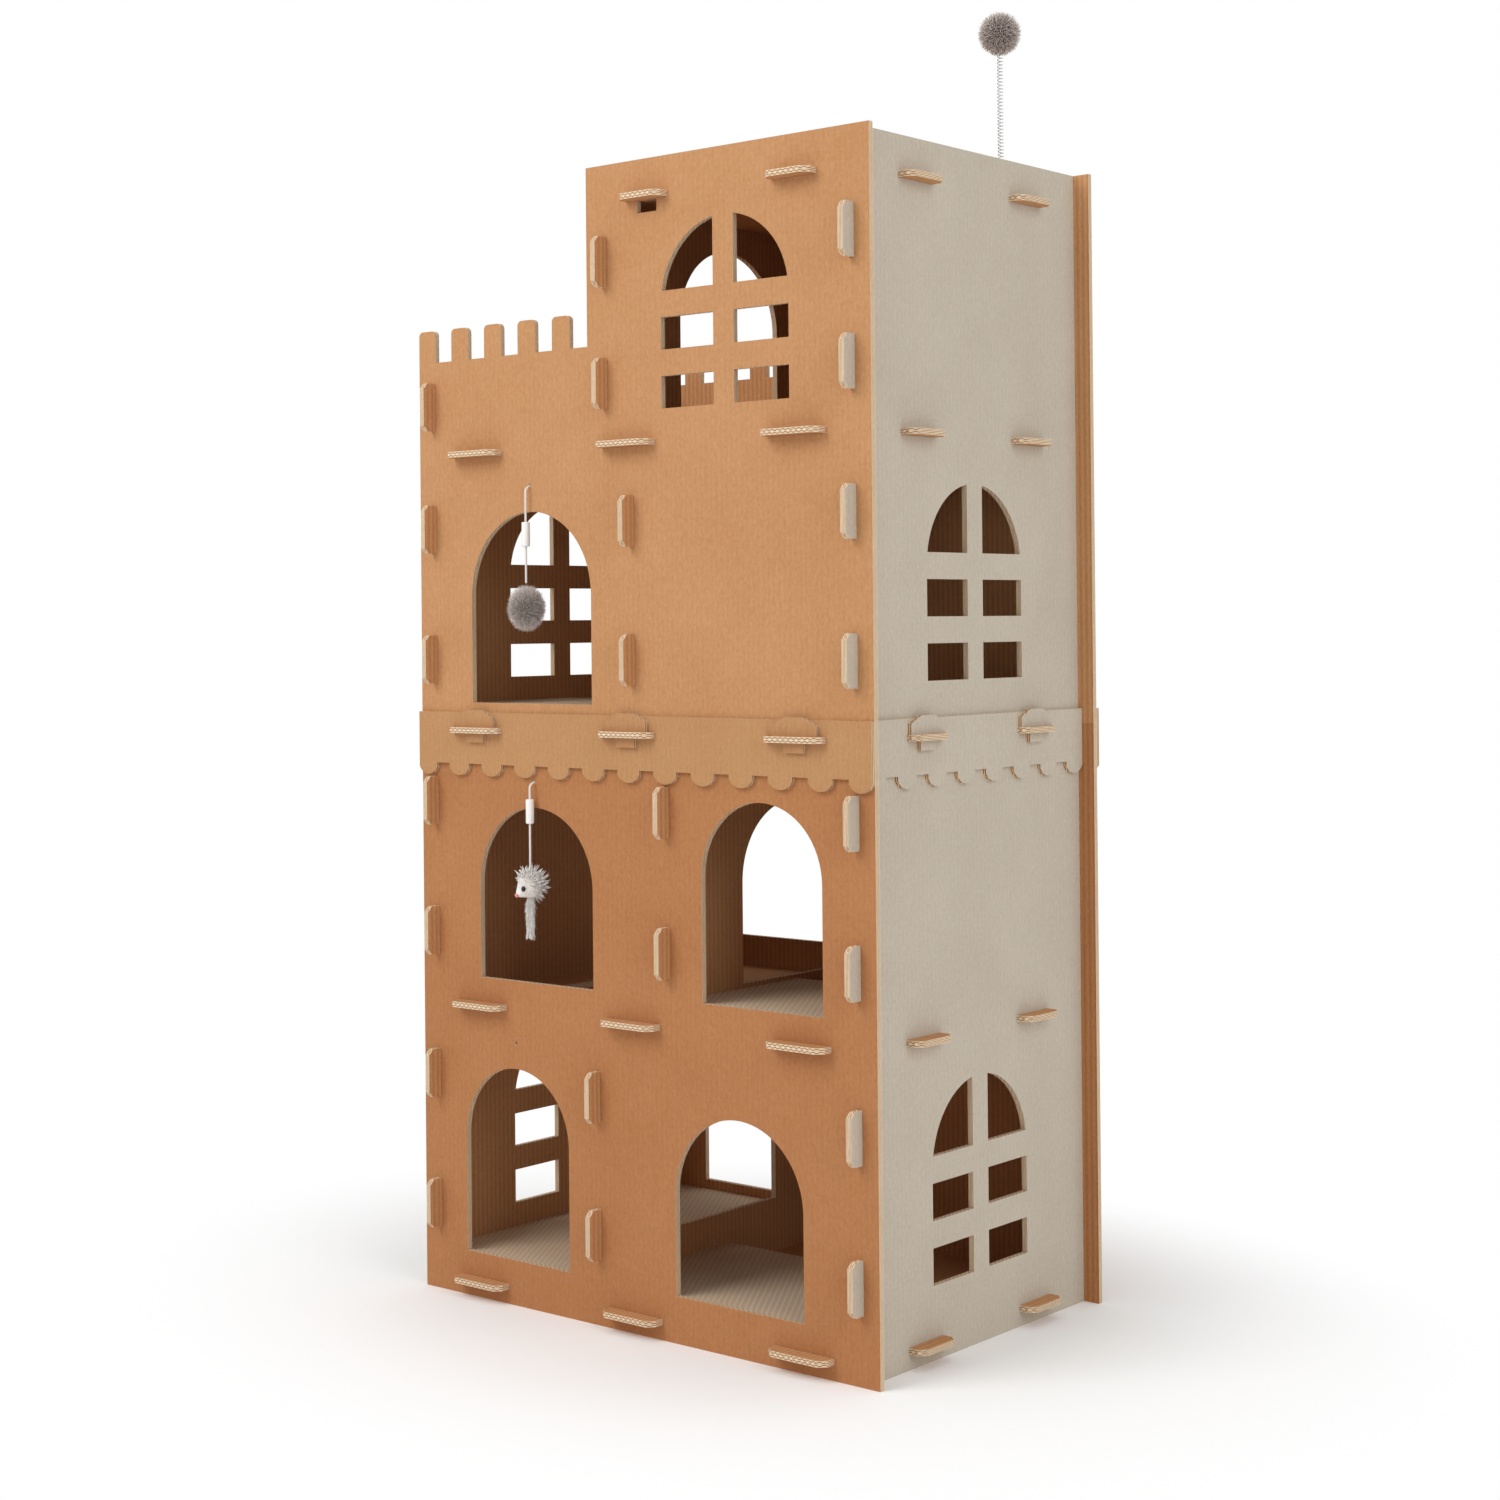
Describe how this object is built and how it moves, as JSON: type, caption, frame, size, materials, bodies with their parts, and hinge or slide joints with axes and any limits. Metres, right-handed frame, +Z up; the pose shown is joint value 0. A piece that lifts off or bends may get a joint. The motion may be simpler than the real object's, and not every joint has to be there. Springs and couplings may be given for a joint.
{
  "type": "cardboard cat castle",
  "caption": "Flat-cut corrugated cardboard play castle for cats: slotted panels, arched doors, barred windows, battlements, scratching pads and hanging toys.",
  "frame": {"origin": "on the ground below the middle of the castle's width and depth", "axes": "+X to the right across the front, -Y out of the front, +Z up"},
  "size_m": [0.675, 0.4725, 1.488],
  "materials": {
    "kraft_board": "matte kraft corrugated cardboard",
    "grey_board": "matte grey-beige corrugated cardboard",
    "trim_board": "matte kraft corrugated cardboard",
    "grey_trim": "matte grey-beige corrugated cardboard",
    "scratch_pad": "edge-on corrugated cardboard",
    "string": "twisted cotton",
    "bead": "smooth",
    "grey_yarn": "cut yarn pile",
    "white_plush": "short plush",
    "foot": "moulded",
    "spring_steel": "drawn wire"
  },
  "bodies": {
    "root": {"front_lower_panel": "kraft_board", "front_upper_panel": "kraft_board", "back_lower_panel": "kraft_board", "back_upper_panel": "kraft_board", "left_lower_wall": "grey_board", "left_upper_wall": "grey_board", "right_lower_wall": "grey_board", "right_upper_wall": "grey_board", "divider_level_1": "kraft_board", "divider_level_2": "kraft_board", "divider_level_3": "kraft_board", "tower_left_wall": "kraft_board", "floor_board": "kraft_board", "shelf_level_2": "kraft_board", "shelf_level_3": "kraft_board", "shelf_level_4": "kraft_board", "tower_roof": "kraft_board", "front_band": "trim_board", "front_key_1": "trim_board", "front_key_2": "trim_board", "front_key_3": "trim_board", "back_band": "trim_board", "back_key_1": "trim_board", "back_key_2": "trim_board", "back_key_3": "trim_board", "left_band": "grey_trim", "left_key_1": "grey_trim", "left_key_2": "grey_trim", "right_band": "grey_trim", "right_key_1": "grey_trim", "right_key_2": "grey_trim", "pad_level_1_left": "scratch_pad", "pad_level_1_right": "scratch_pad", "pad_level_2_right": "scratch_pad", "pad_level_3_left": "scratch_pad", "ball_string": "string", "ball_knot": "string", "mouse_string": "string", "mouse_knot": "string", "ball_bead": "bead", "mouse_bead": "bead", "ball_pompom": "grey_yarn", "mouse_body": "white_plush", "spring_foot": "foot", "spring": "spring_steel", "spring_pompom": "grey_yarn"}
  },
  "joints": []
}
